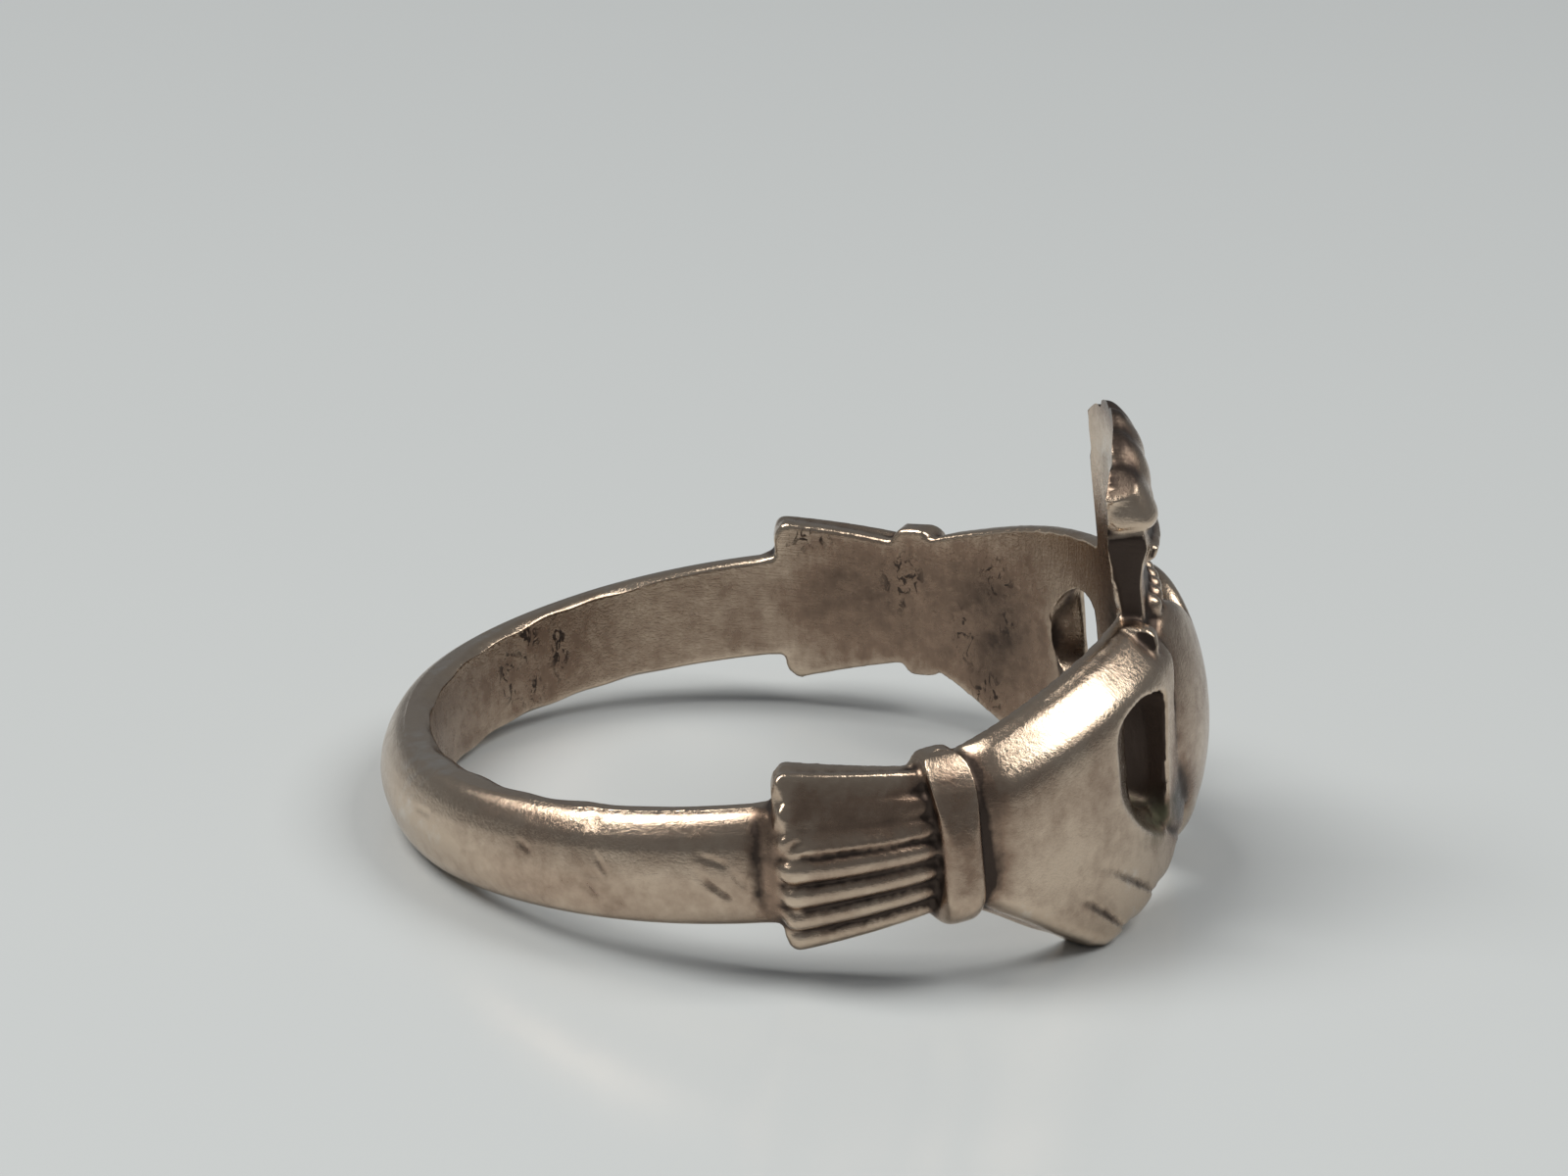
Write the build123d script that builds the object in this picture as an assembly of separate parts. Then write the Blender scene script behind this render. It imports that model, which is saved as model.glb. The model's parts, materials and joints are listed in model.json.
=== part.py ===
from build123d import *
import os
from math import acos, asin, cos, degrees, hypot, radians, sin, sqrt

# A cast silver claddagh ring: two cuffed hands hold a domed heart under a crown.
# It is modelled about the finger hole first: the hole's axis is Z, the heart faces +X
# and the crown points up. At the end it is laid on its side as it rests on a table.
# Lengths are millimetres. Angles are degrees, measured round the hole from the heart.

# Finger hole and band
finger_hole_diameter = 18.1
band_back_width = 2.5
band_cuff_width = 2.9
band_thickness = 1.43
band_edge_thickness = 0.86
band_edge_round = 0.4

# Cuffs, with pleats that fan out from the wrist
cuff_flare_angle = 88.7
cuff_neck_angle = 69.0
cuff_flare_height = 4.6
cuff_flare_lift = 0.12
cuff_neck_height = 3.55
cuff_flare_thickness = 1.75
cuff_neck_thickness = 1.35
cuff_edge_share = 0.52
cuff_lip_length = 0.3
cuff_lip_share = 0.86
pleat_count = 7
pleat_depth = 0.3
pleat_wear = 0.65

# Bracelet between cuff and hand
bracelet_angle = 66.0
bracelet_width = 1.15
bracelet_height = 4.32
bracelet_thickness = 1.7
bracelet_corner_round = 1.0
bracelet_edge_round = 0.4

# Hands
wrist_angle = 64.0
palm_end_angle = 21.0
wrist_half_height = 1.85
hand_rise = 3.0
hand_drop = 3.75
hand_thickness = 1.25
hand_edge_thickness = 0.6
thumb_radius = 0.6
thumb_end_angle = 18.0
thumb_seat = 0.75
finger_start_angle = 40.5
finger_spread = 25.2
finger_tip_drop = 3.62
finger_tip_radius = 0.6
finger_root_radius = 0.46
finger_seat = 0.62
finger_length = 2.9
finger_slope = 46.0

# Opening between each hand and the heart
slot_angle = 30.5
slot_width = 1.75
slot_height = 2.5
slot_middle_height = 0.22
slot_corner_round = 0.6

# Heart
heart_width = 7.5
heart_top = 2.85
heart_tip_drop = 4.45
heart_lobe_share = 0.56
heart_lobe_turn = 25.0
heart_thickness = 1.95
heart_cross_radius = 5.5
heart_length_radius = 7.5
heart_middle_height = -0.3
heart_edge_round = 0.45

# Crown, bent back and turned a little by wear
crown_height = 7.65
crown_width = 5.8
crown_foot_height = 2.0
crown_plate_thickness = 0.6
crown_ledge_height = 5.3
crown_lean = 2.0
crown_twist = 3.5
crown_point_count = 5
crown_point_radius = 0.55
crown_point_root_radius = 0.42
crown_point_tip_seat = 0.3
crown_point_root_seat = 0.45
crown_root_spread = 0.9
crown_side_drop = 0.5
crown_notch_depth = 0.6
crown_rim_height = 0.4
crown_rim_thickness = 0.85
crown_rim_drop = 0.8
bead_count = 7
bead_radius = 0.32
bead_row_width = 4.2
bead_row_height = 2.95

# Stock that reaches into a neighbour, and through the wall before the hole is bored
bury = 0.8
hole_radius = finger_hole_diameter / 2

# Each lobe of the heart keeps its share of the half width, so that the lobes always cross
heart_lobe_radius = heart_lobe_share * heart_width / 2

# Search for the resting tilt
steepest_tilt = 20.0
tilt_steps = 4

# Cross sections of the cuff, as shares of the way from its flare to its neck
cuff_ways = [0.0, 0.3, 0.65, 1.0]

# Cross sections of the palm, as shares: the way from wrist to heart, the top edge's
# rise and the bottom edge's drop beyond the wrist, and the hand's thickness. The last
# one lies under the heart, so that the wall is closed between slot and heart
palm_sections = [
    {"way": 0.00, "rise": 0.00, "drop": 0.05, "thickness": 0.80},
    {"way": 0.20, "rise": 0.28, "drop": 0.51, "thickness": 0.96},
    {"way": 0.42, "rise": 0.58, "drop": 0.95, "thickness": 1.00},
    {"way": 0.62, "rise": 0.80, "drop": 0.97, "thickness": 0.96},
    {"way": 0.82, "rise": 0.94, "drop": 0.66, "thickness": 0.90},
    {"way": 1.00, "rise": 1.00, "drop": 0.40, "thickness": 0.84},
    {"way": 1.18, "rise": 0.78, "drop": 0.30, "thickness": 0.72},
]

# Cross sections of the thumb, as shares: the way from wrist to its tip, the top edge's
# rise beyond the wrist, and its radius
thumb_sections = [
    {"way": 0.00, "rise": 0.00, "radius": 0.80},
    {"way": 0.30, "rise": 0.44, "radius": 1.10},
    {"way": 0.60, "rise": 0.78, "radius": 1.15},
    {"way": 0.86, "rise": 0.96, "radius": 1.00},
    {"way": 1.00, "rise": 0.92, "radius": 0.55},
]

# Fingers, as shares: the way of the tip from the little finger to the first, the
# tip's drop, and how steeply the finger points down
fingers = [
    {"way": 0.00, "drop": 1.00, "slope": 1.00},
    {"way": 0.35, "drop": 0.96, "slope": 0.84},
    {"way": 0.70, "drop": 0.86, "slope": 0.70},
    {"way": 1.00, "drop": 0.67, "slope": 0.65},
]


def radial_plane(angle):
    """Upright plane through the hole's axis: its x runs outwards and its y runs up."""
    out = (cos(radians(angle)), sin(radians(angle)), 0)
    normal = (sin(radians(angle)), -cos(radians(angle)), 0)
    return Plane(origin=(0, 0, 0), x_dir=out, z_dir=normal)


def facing_plane(angle):
    """Plane through the hole's middle that faces outwards: its y runs up."""
    out = (cos(radians(angle)), sin(radians(angle)), 0)
    side = (-sin(radians(angle)), cos(radians(angle)), 0)
    return Plane(origin=(0, 0, 0), x_dir=side, z_dir=out)


def round_point(angle, radius, height):
    """Point at an angle round the hole, a distance from its axis and a height."""
    return Vector(radius * cos(radians(angle)), radius * sin(radians(angle)), height)


def between(start, end, share):
    """Value that lies a share of the way from start to end."""
    return start + (end - start) * share


def ring_shell(outer_radius, bottom, top):
    """Upright tube round the hole's axis, from inside the wall outwards."""
    height = top - bottom
    tube = Cylinder(outer_radius, height) - Cylinder(hole_radius - bury, height)
    return Pos(0, 0, (top + bottom) / 2) * tube


def head_block(outline):
    """Block that faces the heart's way, cut to an outline of (sideways, height) points."""
    reach = hole_radius + heart_thickness + bury
    return extrude(Plane.YZ * make_face(Polyline(*outline, close=True)), reach)


def tapered_rod(start, end, start_radius, end_radius):
    """Round rod between two points, with a ball end at each."""
    length = (end - start).length
    outline = [
        RadiusArc((0, -start_radius), (start_radius, 0), -start_radius),
        Line((start_radius, 0), (end_radius, length)),
        RadiusArc((end_radius, length), (0, length + end_radius), -end_radius),
        Line((0, length + end_radius), (0, -start_radius)),
    ]
    rod = revolve(Plane.XZ * make_face(outline), Axis.Z)
    return Plane(origin=start, z_dir=end - start) * rod


def band():
    """Half-round band behind the cuffs, wider towards them."""
    crest = hole_radius + band_thickness
    sag = band_thickness - band_edge_thickness
    half_width = band_cuff_width / 2
    arch_radius = (half_width**2 + sag**2) / (2 * sag)
    arch_middle = crest - arch_radius
    inner = hole_radius - bury
    arch = [
        Line((arch_middle, arch_radius), (inner, arch_radius)),
        Line((inner, arch_radius), (inner, -arch_radius)),
        Line((inner, -arch_radius), (arch_middle, -arch_radius)),
        ThreePointArc((arch_middle, -arch_radius), (crest, 0), (arch_middle, arch_radius)),
    ]
    stock = revolve(Plane.XZ * make_face(arch), Axis.Z)
    back = -crest - bury
    front = hole_radius * cos(radians((cuff_flare_angle + cuff_neck_angle) / 2))
    slope = (band_cuff_width - band_back_width) / 2 / crest
    back_half = half_width + slope * back
    front_half = half_width + slope * front
    corners = [(back, back_half), (front, front_half), (front, -front_half), (back, -back_half)]
    wedge = extrude(Plane.XZ * make_face(Polyline(*corners, close=True)), crest + bury, both=True)
    trimmed = stock & wedge

    def is_shoulder(edge):
        middle = edge.position_at(0.5)
        return hypot(middle.X, middle.Y) > hole_radius and abs(middle.Z) > back_half / 2

    return fillet(trimmed.edges().filter_by(is_shoulder), band_edge_round)


def cuff_section(angle, height, thickness, lift):
    """Arched section of a cuff, with one small arc for each pleat."""
    half = height / 2
    edge_thickness = thickness * cuff_edge_share
    inner = hole_radius - bury

    def crest(level):
        arch = 1 - (level / half) ** 2
        return (hole_radius + between(edge_thickness, thickness, arch), level + lift)

    def groove(number):
        share = number / pleat_count
        out, height = crest(between(-half, half, share))
        return (out - pleat_depth * (1 - pleat_wear * share), height)

    lines = []
    for number in range(pleat_count):
        middle = crest(between(-half, half, (number + 0.5) / pleat_count))
        lines.append(ThreePointArc(groove(number), middle, groove(number + 1)))
    lines.append(Line(groove(pleat_count), (inner, lift + half)))
    lines.append(Line((inner, lift + half), (inner, lift - half)))
    lines.append(Line((inner, lift - half), groove(0)))
    return radial_plane(angle) * make_face(lines)


def cuff():
    """Pleated cuff: it opens from the wrist to a rounded lip."""
    lip_turn = degrees(cuff_lip_length / hole_radius)
    sections = [cuff_section(cuff_flare_angle + lip_turn, cuff_flare_height * cuff_lip_share,
                             cuff_flare_thickness * cuff_lip_share, cuff_flare_lift)]
    for share in cuff_ways:
        sections.append(cuff_section(
            between(cuff_flare_angle, cuff_neck_angle, share),
            between(cuff_flare_height, cuff_neck_height, share),
            between(cuff_flare_thickness, cuff_neck_thickness, share),
            between(cuff_flare_lift, 0, share),
        ))
    return loft(sections, ruled=True)


def bracelet():
    """Plain rounded band across the wrist."""
    inner = hole_radius - bury
    outer = hole_radius + bracelet_thickness
    section = Pos((inner + outer) / 2, 0) * Rectangle(outer - inner, bracelet_height)
    section = fillet(section.vertices().group_by(Axis.X)[-1], bracelet_corner_round)
    block = extrude(radial_plane(0) * section, bracelet_width / 2, both=True)
    sides = block.faces().sort_by(Axis.Y)
    rims = sides[0].edges().sort_by(Axis.X)[1:] + sides[-1].edges().sort_by(Axis.X)[1:]
    return Rot(0, 0, bracelet_angle) * fillet(rims, bracelet_edge_round)


def palm_section(row):
    """Arched section of the hand at one row of the palm's table."""
    angle = between(wrist_angle, palm_end_angle, row["way"])
    top = between(wrist_half_height, hand_rise, row["rise"])
    bottom = -between(wrist_half_height, hand_drop, row["drop"])
    inner = hole_radius - bury
    edge = hole_radius + hand_edge_thickness
    crest = hole_radius + hand_thickness * row["thickness"]
    lines = [
        ThreePointArc((edge, bottom), (crest, (top + bottom) / 2), (edge, top)),
        Line((edge, top), (inner, top)),
        Line((inner, top), (inner, bottom)),
        Line((inner, bottom), (edge, bottom)),
    ]
    return radial_plane(angle) * make_face(lines)


def thumb_section(row):
    """Round section of the thumb at one row of its table."""
    angle = between(wrist_angle, thumb_end_angle, row["way"])
    radius = thumb_radius * row["radius"]
    top = between(wrist_half_height, hand_rise, row["rise"])
    return radial_plane(angle) * Pos(hole_radius + thumb_seat, top - radius) * Circle(radius)


def finger(row):
    """One finger, from its tip beside the heart back into the palm."""
    axis_radius = hole_radius + finger_seat
    angle = finger_start_angle - finger_spread * row["way"]
    drop = finger_tip_drop * row["drop"]
    slope = radians(finger_slope * row["slope"])
    back_turn = degrees(finger_length * cos(slope) / axis_radius)
    back_rise = finger_length * sin(slope)
    tip = round_point(angle, axis_radius, -drop)
    root = round_point(angle + back_turn, axis_radius, back_rise - drop)
    return tapered_rod(tip, root, finger_tip_radius, finger_root_radius)


def hand():
    """Palm, thumb and fingers of one hand."""
    palm = loft([palm_section(row) for row in palm_sections])
    thumb = loft([thumb_section(row) for row in thumb_sections])
    return [palm, thumb] + [finger(row) for row in fingers]


def slot():
    """Opening between hand and heart, cut straight through the wall."""
    opening = Pos(0, slot_middle_height) * RectangleRounded(slot_width, slot_height, slot_corner_round)
    return extrude(facing_plane(slot_angle) * opening, hole_radius + heart_thickness + bury)


def heart_outline():
    """Heart seen from the front: two lobes that run down to a blunt tip."""
    lobe_side = heart_width / 2 - heart_lobe_radius
    lobe_height = heart_top - heart_lobe_radius
    cleft_turn = 180 - degrees(acos(lobe_side / heart_lobe_radius))
    top_turn = (cleft_turn - heart_lobe_turn) / 2
    lines = []
    for side in (1, -1):

        def on_lobe(turn):
            across = lobe_side + heart_lobe_radius * cos(radians(turn))
            return (side * across, lobe_height + heart_lobe_radius * sin(radians(turn)))

        shoulder = on_lobe(-heart_lobe_turn)
        downwards = (-side * sin(radians(heart_lobe_turn)), -cos(radians(heart_lobe_turn)))
        lines.append(ThreePointArc(on_lobe(cleft_turn), on_lobe(top_turn), shoulder))
        lines.append(TangentArc(shoulder, (0, -heart_tip_drop), tangent=downwards))
    return Plane.YZ * make_face(lines)


def heart():
    """Domed heart that stands on the wall of the ring."""
    apex = hole_radius + heart_thickness
    dome_axis = apex - heart_cross_radius
    half = max(heart_top - heart_middle_height, heart_tip_drop + heart_middle_height) + bury
    edge = apex - heart_length_radius + sqrt(heart_length_radius**2 - half**2)
    dome_lines = [
        ThreePointArc((edge, -half), (apex, 0), (edge, half)),
        Line((edge, half), (dome_axis, half)),
        Line((dome_axis, half), (dome_axis, -half)),
        Line((dome_axis, -half), (edge, -half)),
    ]
    dome = revolve(Plane.XZ * make_face(dome_lines), Axis((dome_axis, 0, 0), (0, 0, 1)))
    block = Pos(dome_axis, 0, 0) * extrude(heart_outline(), heart_cross_radius + bury)
    domed = block & (Pos(0, 0, heart_middle_height) * dome)
    front = domed.faces().sort_by(Axis.X)[-1]
    return fillet(front.edges(), heart_edge_round)


def hole():
    """Stock that is bored out for the finger."""
    return Cylinder(hole_radius, 2 * (crown_height + heart_tip_drop))


def crown_tip(number):
    """Middle of a crown point's ball end: sideways place and height."""
    share = 1 - 2 * number / (crown_point_count - 1)
    across = share * (crown_width / 2 - crown_point_radius)
    return (across, crown_height - crown_point_radius - crown_side_drop * share**2)


def crown_plate():
    """Back of the crown, with a notch between each two points."""
    side = crown_width / 2
    outline = [(side, crown_foot_height), (side, crown_ledge_height)]
    for number in range(crown_point_count):
        tip = crown_tip(number)
        outline.append(tip)
        if number < crown_point_count - 1:
            following = crown_tip(number + 1)
            middle = (tip[0] + following[0]) / 2
            outline.append((middle, (tip[1] + following[1]) / 2 - crown_notch_depth))
    outline += [(-side, crown_ledge_height), (-side, crown_foot_height)]
    shell = ring_shell(hole_radius + crown_plate_thickness, crown_foot_height, crown_height)
    return head_block(outline) & shell


def crown_point(number):
    """Rounded point of the crown, from its ledge to its ball end."""
    across, height = crown_tip(number)
    root_radius = hole_radius + crown_point_root_seat
    tip_radius = hole_radius + crown_point_tip_seat
    root_height = crown_ledge_height + crown_point_root_radius
    root = round_point(degrees(asin(across * crown_root_spread / root_radius)), root_radius, root_height)
    tip = round_point(degrees(asin(across / tip_radius)), tip_radius, height)
    return tapered_rod(root, tip, crown_point_root_radius, crown_point_radius)


def crown_rim():
    """Raised bar across the crown, between its beads and its points."""
    side = crown_width / 2 - bead_radius
    middle = crown_ledge_height - crown_rim_drop
    bottom = middle - crown_rim_height / 2
    top = middle + crown_rim_height / 2
    outline = [(side, bottom), (side, top), (-side, top), (-side, bottom)]
    return head_block(outline) & ring_shell(hole_radius + crown_rim_thickness, bottom, top)


def bead(number):
    """One bead of the row across the crown's foot."""
    row_radius = hole_radius + crown_plate_thickness
    half_turn = degrees(asin((bead_row_width / 2) / row_radius))
    turn = between(half_turn, -half_turn, number / (bead_count - 1))
    return Pos(round_point(turn, row_radius, bead_row_height)) * Sphere(bead_radius)


def crown():
    """Crown with its points and beads, bored to the finger hole, then bent and turned."""
    points = [crown_point(number) for number in range(crown_point_count)]
    beads = [bead(number) for number in range(bead_count)]
    whole = crown_plate().fuse(crown_rim(), *points, *beads).cut(hole())
    foot = Vector(hole_radius, 0, crown_foot_height)
    return Pos(foot) * Rot(0, -crown_lean, crown_twist) * Pos(-foot) * whole


def cast_ring():
    """The whole ring as one casting, with its finger hole upright."""
    side_pieces = [cuff(), bracelet()] + hand()
    mirrored = [mirror(piece, about=Plane.XZ) for piece in side_pieces]
    casting = band().fuse(heart(), *side_pieces, *mirrored)
    bored = casting.cut(slot(), mirror(slot(), about=Plane.XZ), hole())
    return bored.fuse(crown())


def resting_tilt(ring):
    """Tilt at which the head and the band's back reach equally low."""
    head = split(ring, Plane.YZ, keep=Keep.TOP)
    back = split(ring, Plane.YZ, keep=Keep.BOTTOM)

    def gap(tilt):
        lowest = [(Rot(0, -tilt, 0) * half).bounding_box().min.Z for half in (head, back)]
        return lowest[0] - lowest[1]

    low, high = 0.0, steepest_tilt
    gap_low, gap_high = gap(low), gap(high)
    for _ in range(tilt_steps):
        tilt = low - gap_low * (high - low) / (gap_high - gap_low)
        gap_tilt = gap(tilt)
        if gap_tilt < 0:
            low, gap_low = tilt, gap_tilt
        else:
            high, gap_high = tilt, gap_tilt
    return tilt


def main():
    ring = cast_ring()
    tilt = resting_tilt(ring)
    laid = Rot(0, -tilt, 0) * ring
    box = laid.bounding_box()
    shift = Vector(-box.center().X, -box.center().Y, -box.min.Z)
    resting = Pos(shift) * laid
    os.makedirs("parts", exist_ok=True)
    export_step(resting, "parts/ring.step")
    print(f"resting tilt {tilt:.4f} degrees")
    print(f"middle of the finger hole {shift.X:.4f} {shift.Y:.4f} {shift.Z:.4f}")
    print(f"size {box.size.X:.3f} {box.size.Y:.3f} {box.size.Z:.3f}")
    print(f"volume {resting.volume:.2f}, solids {len(resting.solids())}, faces {len(resting.faces())}")


main()
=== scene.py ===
# %% [markdown]
# # A worn claddagh ring
#
# This lesson dresses one small cast object: a silver ring whose two cuffed hands hold a
# heart under a crown. The solid model already has the right sizes. What it lacks is what
# years of wear give a casting: soft edges, pleats rubbed flat, pits, scratches and tarnish.
#
# The work goes in four steps. First the camera, the table and the light. Then the
# tarnished silver, which waits for measures taken on the ring. Then the raised ornament,
# grown by Geometry Nodes. Last one skin over everything, carved and worn as a jeweller's
# file and a pocket would do it, measured for the tarnish and given painted light and shade.

import json
from math import cos, pi, radians, sin

import bmesh
import bpy
import numpy as np
from mathutils import Matrix, Vector


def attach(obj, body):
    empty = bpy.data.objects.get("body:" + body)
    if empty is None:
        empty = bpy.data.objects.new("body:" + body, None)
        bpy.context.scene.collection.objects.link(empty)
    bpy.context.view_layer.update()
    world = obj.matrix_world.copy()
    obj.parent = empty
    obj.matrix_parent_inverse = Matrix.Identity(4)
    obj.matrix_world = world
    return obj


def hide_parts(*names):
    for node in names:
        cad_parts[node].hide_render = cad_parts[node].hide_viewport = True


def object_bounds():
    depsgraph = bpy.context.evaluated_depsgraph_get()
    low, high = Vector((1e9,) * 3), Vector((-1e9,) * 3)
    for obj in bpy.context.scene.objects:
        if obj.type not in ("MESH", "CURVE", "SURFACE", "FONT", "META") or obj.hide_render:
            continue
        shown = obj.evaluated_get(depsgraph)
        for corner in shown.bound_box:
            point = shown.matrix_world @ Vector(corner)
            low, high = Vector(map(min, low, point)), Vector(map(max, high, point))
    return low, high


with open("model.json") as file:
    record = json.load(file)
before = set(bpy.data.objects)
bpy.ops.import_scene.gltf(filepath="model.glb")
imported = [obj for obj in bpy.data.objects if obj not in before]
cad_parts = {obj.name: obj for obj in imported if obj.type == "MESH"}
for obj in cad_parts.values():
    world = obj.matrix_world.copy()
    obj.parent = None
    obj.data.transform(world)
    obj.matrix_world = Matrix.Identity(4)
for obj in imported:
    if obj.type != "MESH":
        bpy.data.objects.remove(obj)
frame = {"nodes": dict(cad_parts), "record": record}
cad_low, cad_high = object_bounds()
MM = 0.001
print("size of the solid in millimetres", [round(side / MM, 2) for side in cad_high - cad_low])

# %% [markdown]
# The ring lies on its side, so its finger hole leans a little. Every ornament follows the
# hole and not the table, so the script reads the hole's middle, way and radius from the
# record, and turns points into the ring's own frame: x towards the heart, z towards the
# crown. All shaping is done there in millimetres, where a ring's sizes are easy to read.

# %% The ring's own frame
hole = next(mount for mount in frame["record"]["mounts"] if mount["name"] == "finger_hole")
hole_radius = hole["dims"]["r_mm"]
hole_middle = np.array(hole["pos_m"]) / MM
crown_way = -np.array(hole["axis"])
heart_way = np.array([crown_way[2], 0.0, -crown_way[0]])
side_way = np.array([0.0, 1.0, 0.0])
ring_axes = np.stack([heart_way, side_way, crown_way])


def to_ring(points):
    """Points of the scene, in metres, as millimetres in the ring's own frame."""
    return (points / MM - hole_middle) @ ring_axes.T


def to_scene(points):
    """Points in the ring's own frame as metres in the scene."""
    return (points @ ring_axes + hole_middle) * MM


lean = float(np.degrees(np.arcsin(heart_way[2])))
print("hole radius", hole_radius, "leaning", round(lean, 2), "degrees")

# %% [markdown]
# ## Camera
#
# A ring fills a photo only from close by, through a long lens. The camera looks down at
# about nineteen degrees and is held a little crooked, which a roll about its own line of
# sight repeats. Its place is a length from the hole's middle along that line, and a small
# step aside, because the ring isn't in the middle of the picture.

# %% Camera
camera_azimuth = radians(-1.357)
camera_elevation = radians(18.808)
camera_roll = radians(4.519)
camera_distance = 110.6
camera_step = (0.013, 3.439)
camera_lens = 97.98


def placed(name, data):
    """New object of the scene."""
    thing = bpy.data.objects.new(name, data)
    bpy.context.scene.collection.objects.link(thing)
    return thing


back = Vector((
    sin(camera_azimuth) * cos(camera_elevation),
    -cos(camera_azimuth) * cos(camera_elevation),
    sin(camera_elevation),
))
level_right = Vector((cos(camera_azimuth), sin(camera_azimuth), 0.0))
level_up = back.cross(level_right)
right = cos(camera_roll) * level_right + sin(camera_roll) * level_up
up = cos(camera_roll) * level_up - sin(camera_roll) * level_right
place = Vector(hole_middle) + camera_distance * back + camera_step[0] * right + camera_step[1] * up

camera_data = bpy.data.cameras.new("camera")
camera_data.lens = camera_lens
camera_data.sensor_width = 36
camera_data.clip_start = MM
camera_data.clip_end = 5
camera = placed("camera", camera_data)
camera.matrix_world = Matrix((
    (right.x, up.x, back.x, place.x * MM),
    (right.y, up.y, back.y, place.y * MM),
    (right.z, up.z, back.z, place.z * MM),
    (0, 0, 0, 1),
))
bpy.context.scene.camera = camera
print("camera at", [round(value, 1) for value in place], "millimetres")

# %% [markdown]
# ## A helper for materials
#
# A material is a tree of shader nodes. Setting sockets one by one fills a page, so a helper
# makes a node and fills its sockets from a dictionary. A value that is the output of
# another node becomes a link, and anything else is set on the socket.

# %% Node helper
def add_node(tree, kind, inputs=None, **settings):
    """Node of a kind in a tree, with its settings, and its sockets set or linked."""
    node = tree.nodes.new(kind)
    for name, value in settings.items():
        setattr(node, name, value)
    for key, value in (inputs or {}).items():
        if isinstance(value, bpy.types.NodeSocket):
            tree.links.new(value, node.inputs[key])
        else:
            node.inputs[key].default_value = value
    return node


def new_material(name):
    """Material with one shader in its tree."""
    material = bpy.data.materials.new(name)
    material.use_nodes = True
    tree = material.node_tree
    tree.nodes.clear()
    shader = add_node(tree, "ShaderNodeBsdfPrincipled")
    add_node(tree, "ShaderNodeOutputMaterial", {"Surface": shader.outputs["BSDF"]})
    return material, tree, shader


# %% [markdown]
# ## Table and light
#
# The ring lies on a pale, slightly glossy sheet. Polished metal shows its surroundings
# more than itself: its lower faces mirror the sheet, its upright faces the dim room, and
# its shoulders the lamps. So the sheet is wide, the room is dim, and two large soft lamps
# hang left and right over the ring. Round edges then carry bright highlights.

# %% Table
table_half_width = 0.9
table_mesh = bpy.data.meshes.new("table")
sides = [(-1, -1), (1, -1), (1, 1), (-1, 1)]
corners = [(x * table_half_width, y * table_half_width, 0) for x, y in sides]
table_mesh.from_pydata(corners, [], [(0, 1, 2, 3)])
table = placed("table", table_mesh)

table_material, _, shader = new_material("pale_glossy_sheet")
shader.inputs["Base Color"].default_value = (0.57, 0.597, 0.607, 1)
shader.inputs["Roughness"].default_value = 0.2
shader.inputs["Specular IOR Level"].default_value = 0.3
table_mesh.materials.append(table_material)

# %% [markdown]
# A lamp's energy is set from the brightness its face should have, because that brightness
# is what a polished edge mirrors. A larger lamp then softens the shadows and leaves the
# highlights as bright as they were.

# %% Room and lamps
world = bpy.data.worlds.new("room")
world.use_nodes = True
world.node_tree.nodes["Background"].inputs["Color"].default_value = (0.9, 0.95, 1.0, 1)
world.node_tree.nodes["Background"].inputs["Strength"].default_value = 0.19
bpy.context.scene.world = world
bpy.context.scene.view_settings.view_transform = "Standard"


def soft_lamp(name, way, distance_mm, size_mm, radiance, colour):
    """Rectangular lamp that looks at the ring from a way, with a radiance its size doesn't change."""
    data = bpy.data.lights.new(name, "AREA")
    data.shape = "RECTANGLE"
    data.size, data.size_y = (side * MM for side in size_mm)
    data.energy = radiance * data.size * data.size_y * pi
    data.color = colour
    lamp = placed(name, data)
    lamp.location = Vector(way).normalized() * distance_mm * MM
    lamp.rotation_euler = Vector(way).to_track_quat("Z", "Y").to_euler()
    print(name, "of", size_mm, "millimetres, radiance", radiance)


lamp_white = (1.0, 0.975, 0.93)
soft_lamp("left_lamp", (-0.53, -0.02, 0.82), 1300, (660, 880), 7.4, lamp_white)
soft_lamp("right_lamp", (0.58, 0.05, 0.79), 1300, (560, 740), 5.9, lamp_white)

# %% [markdown]
# ## Small mesh tools
#
# The ring's skin has over a hundred thousand points at first. Python loops over them are
# slow, so the shaping is done on whole arrays: read the points, move them, write them back.

# %% Mesh tools
def get_points(mesh):
    """All points of a mesh as an array."""
    points = np.empty(len(mesh.vertices) * 3, np.float32)
    mesh.vertices.foreach_get("co", points)
    return points.reshape(-1, 3).astype(float)


def set_points(mesh, points):
    """Writes an array back as a mesh's points."""
    mesh.vertices.foreach_set("co", points.astype(np.float32).ravel())
    mesh.update()


def get_normals(mesh):
    """The outward direction at every point of a mesh."""
    normals = np.empty(len(mesh.vertices) * 3, np.float32)
    mesh.vertex_normals.foreach_get("vector", normals)
    return normals.reshape(-1, 3).astype(float)


def neighbour_mean(mesh):
    """Function that gives, for any value kept at the points, the mean of their neighbours."""
    edges = np.empty(len(mesh.edges) * 2, np.int32)
    mesh.edges.foreach_get("vertices", edges)
    first, second = edges.reshape(-1, 2).T
    count = len(mesh.vertices)
    ends = np.concatenate([first, second])
    others = np.concatenate([second, first])
    shares = np.maximum(np.bincount(ends, minlength=count), 1)

    def mean(values):
        columns = values.reshape(count, -1)
        sums = [np.bincount(ends, weights=column[others], minlength=count) for column in columns.T]
        return (np.stack(sums, axis=1) / shares[:, None]).reshape(values.shape)

    return mean


def ramp(values, start, end):
    """Smooth step from 0 at start to 1 at end."""
    share = np.clip((values - start) / (end - start), 0, 1)
    return share * share * (3 - 2 * share)
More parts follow.
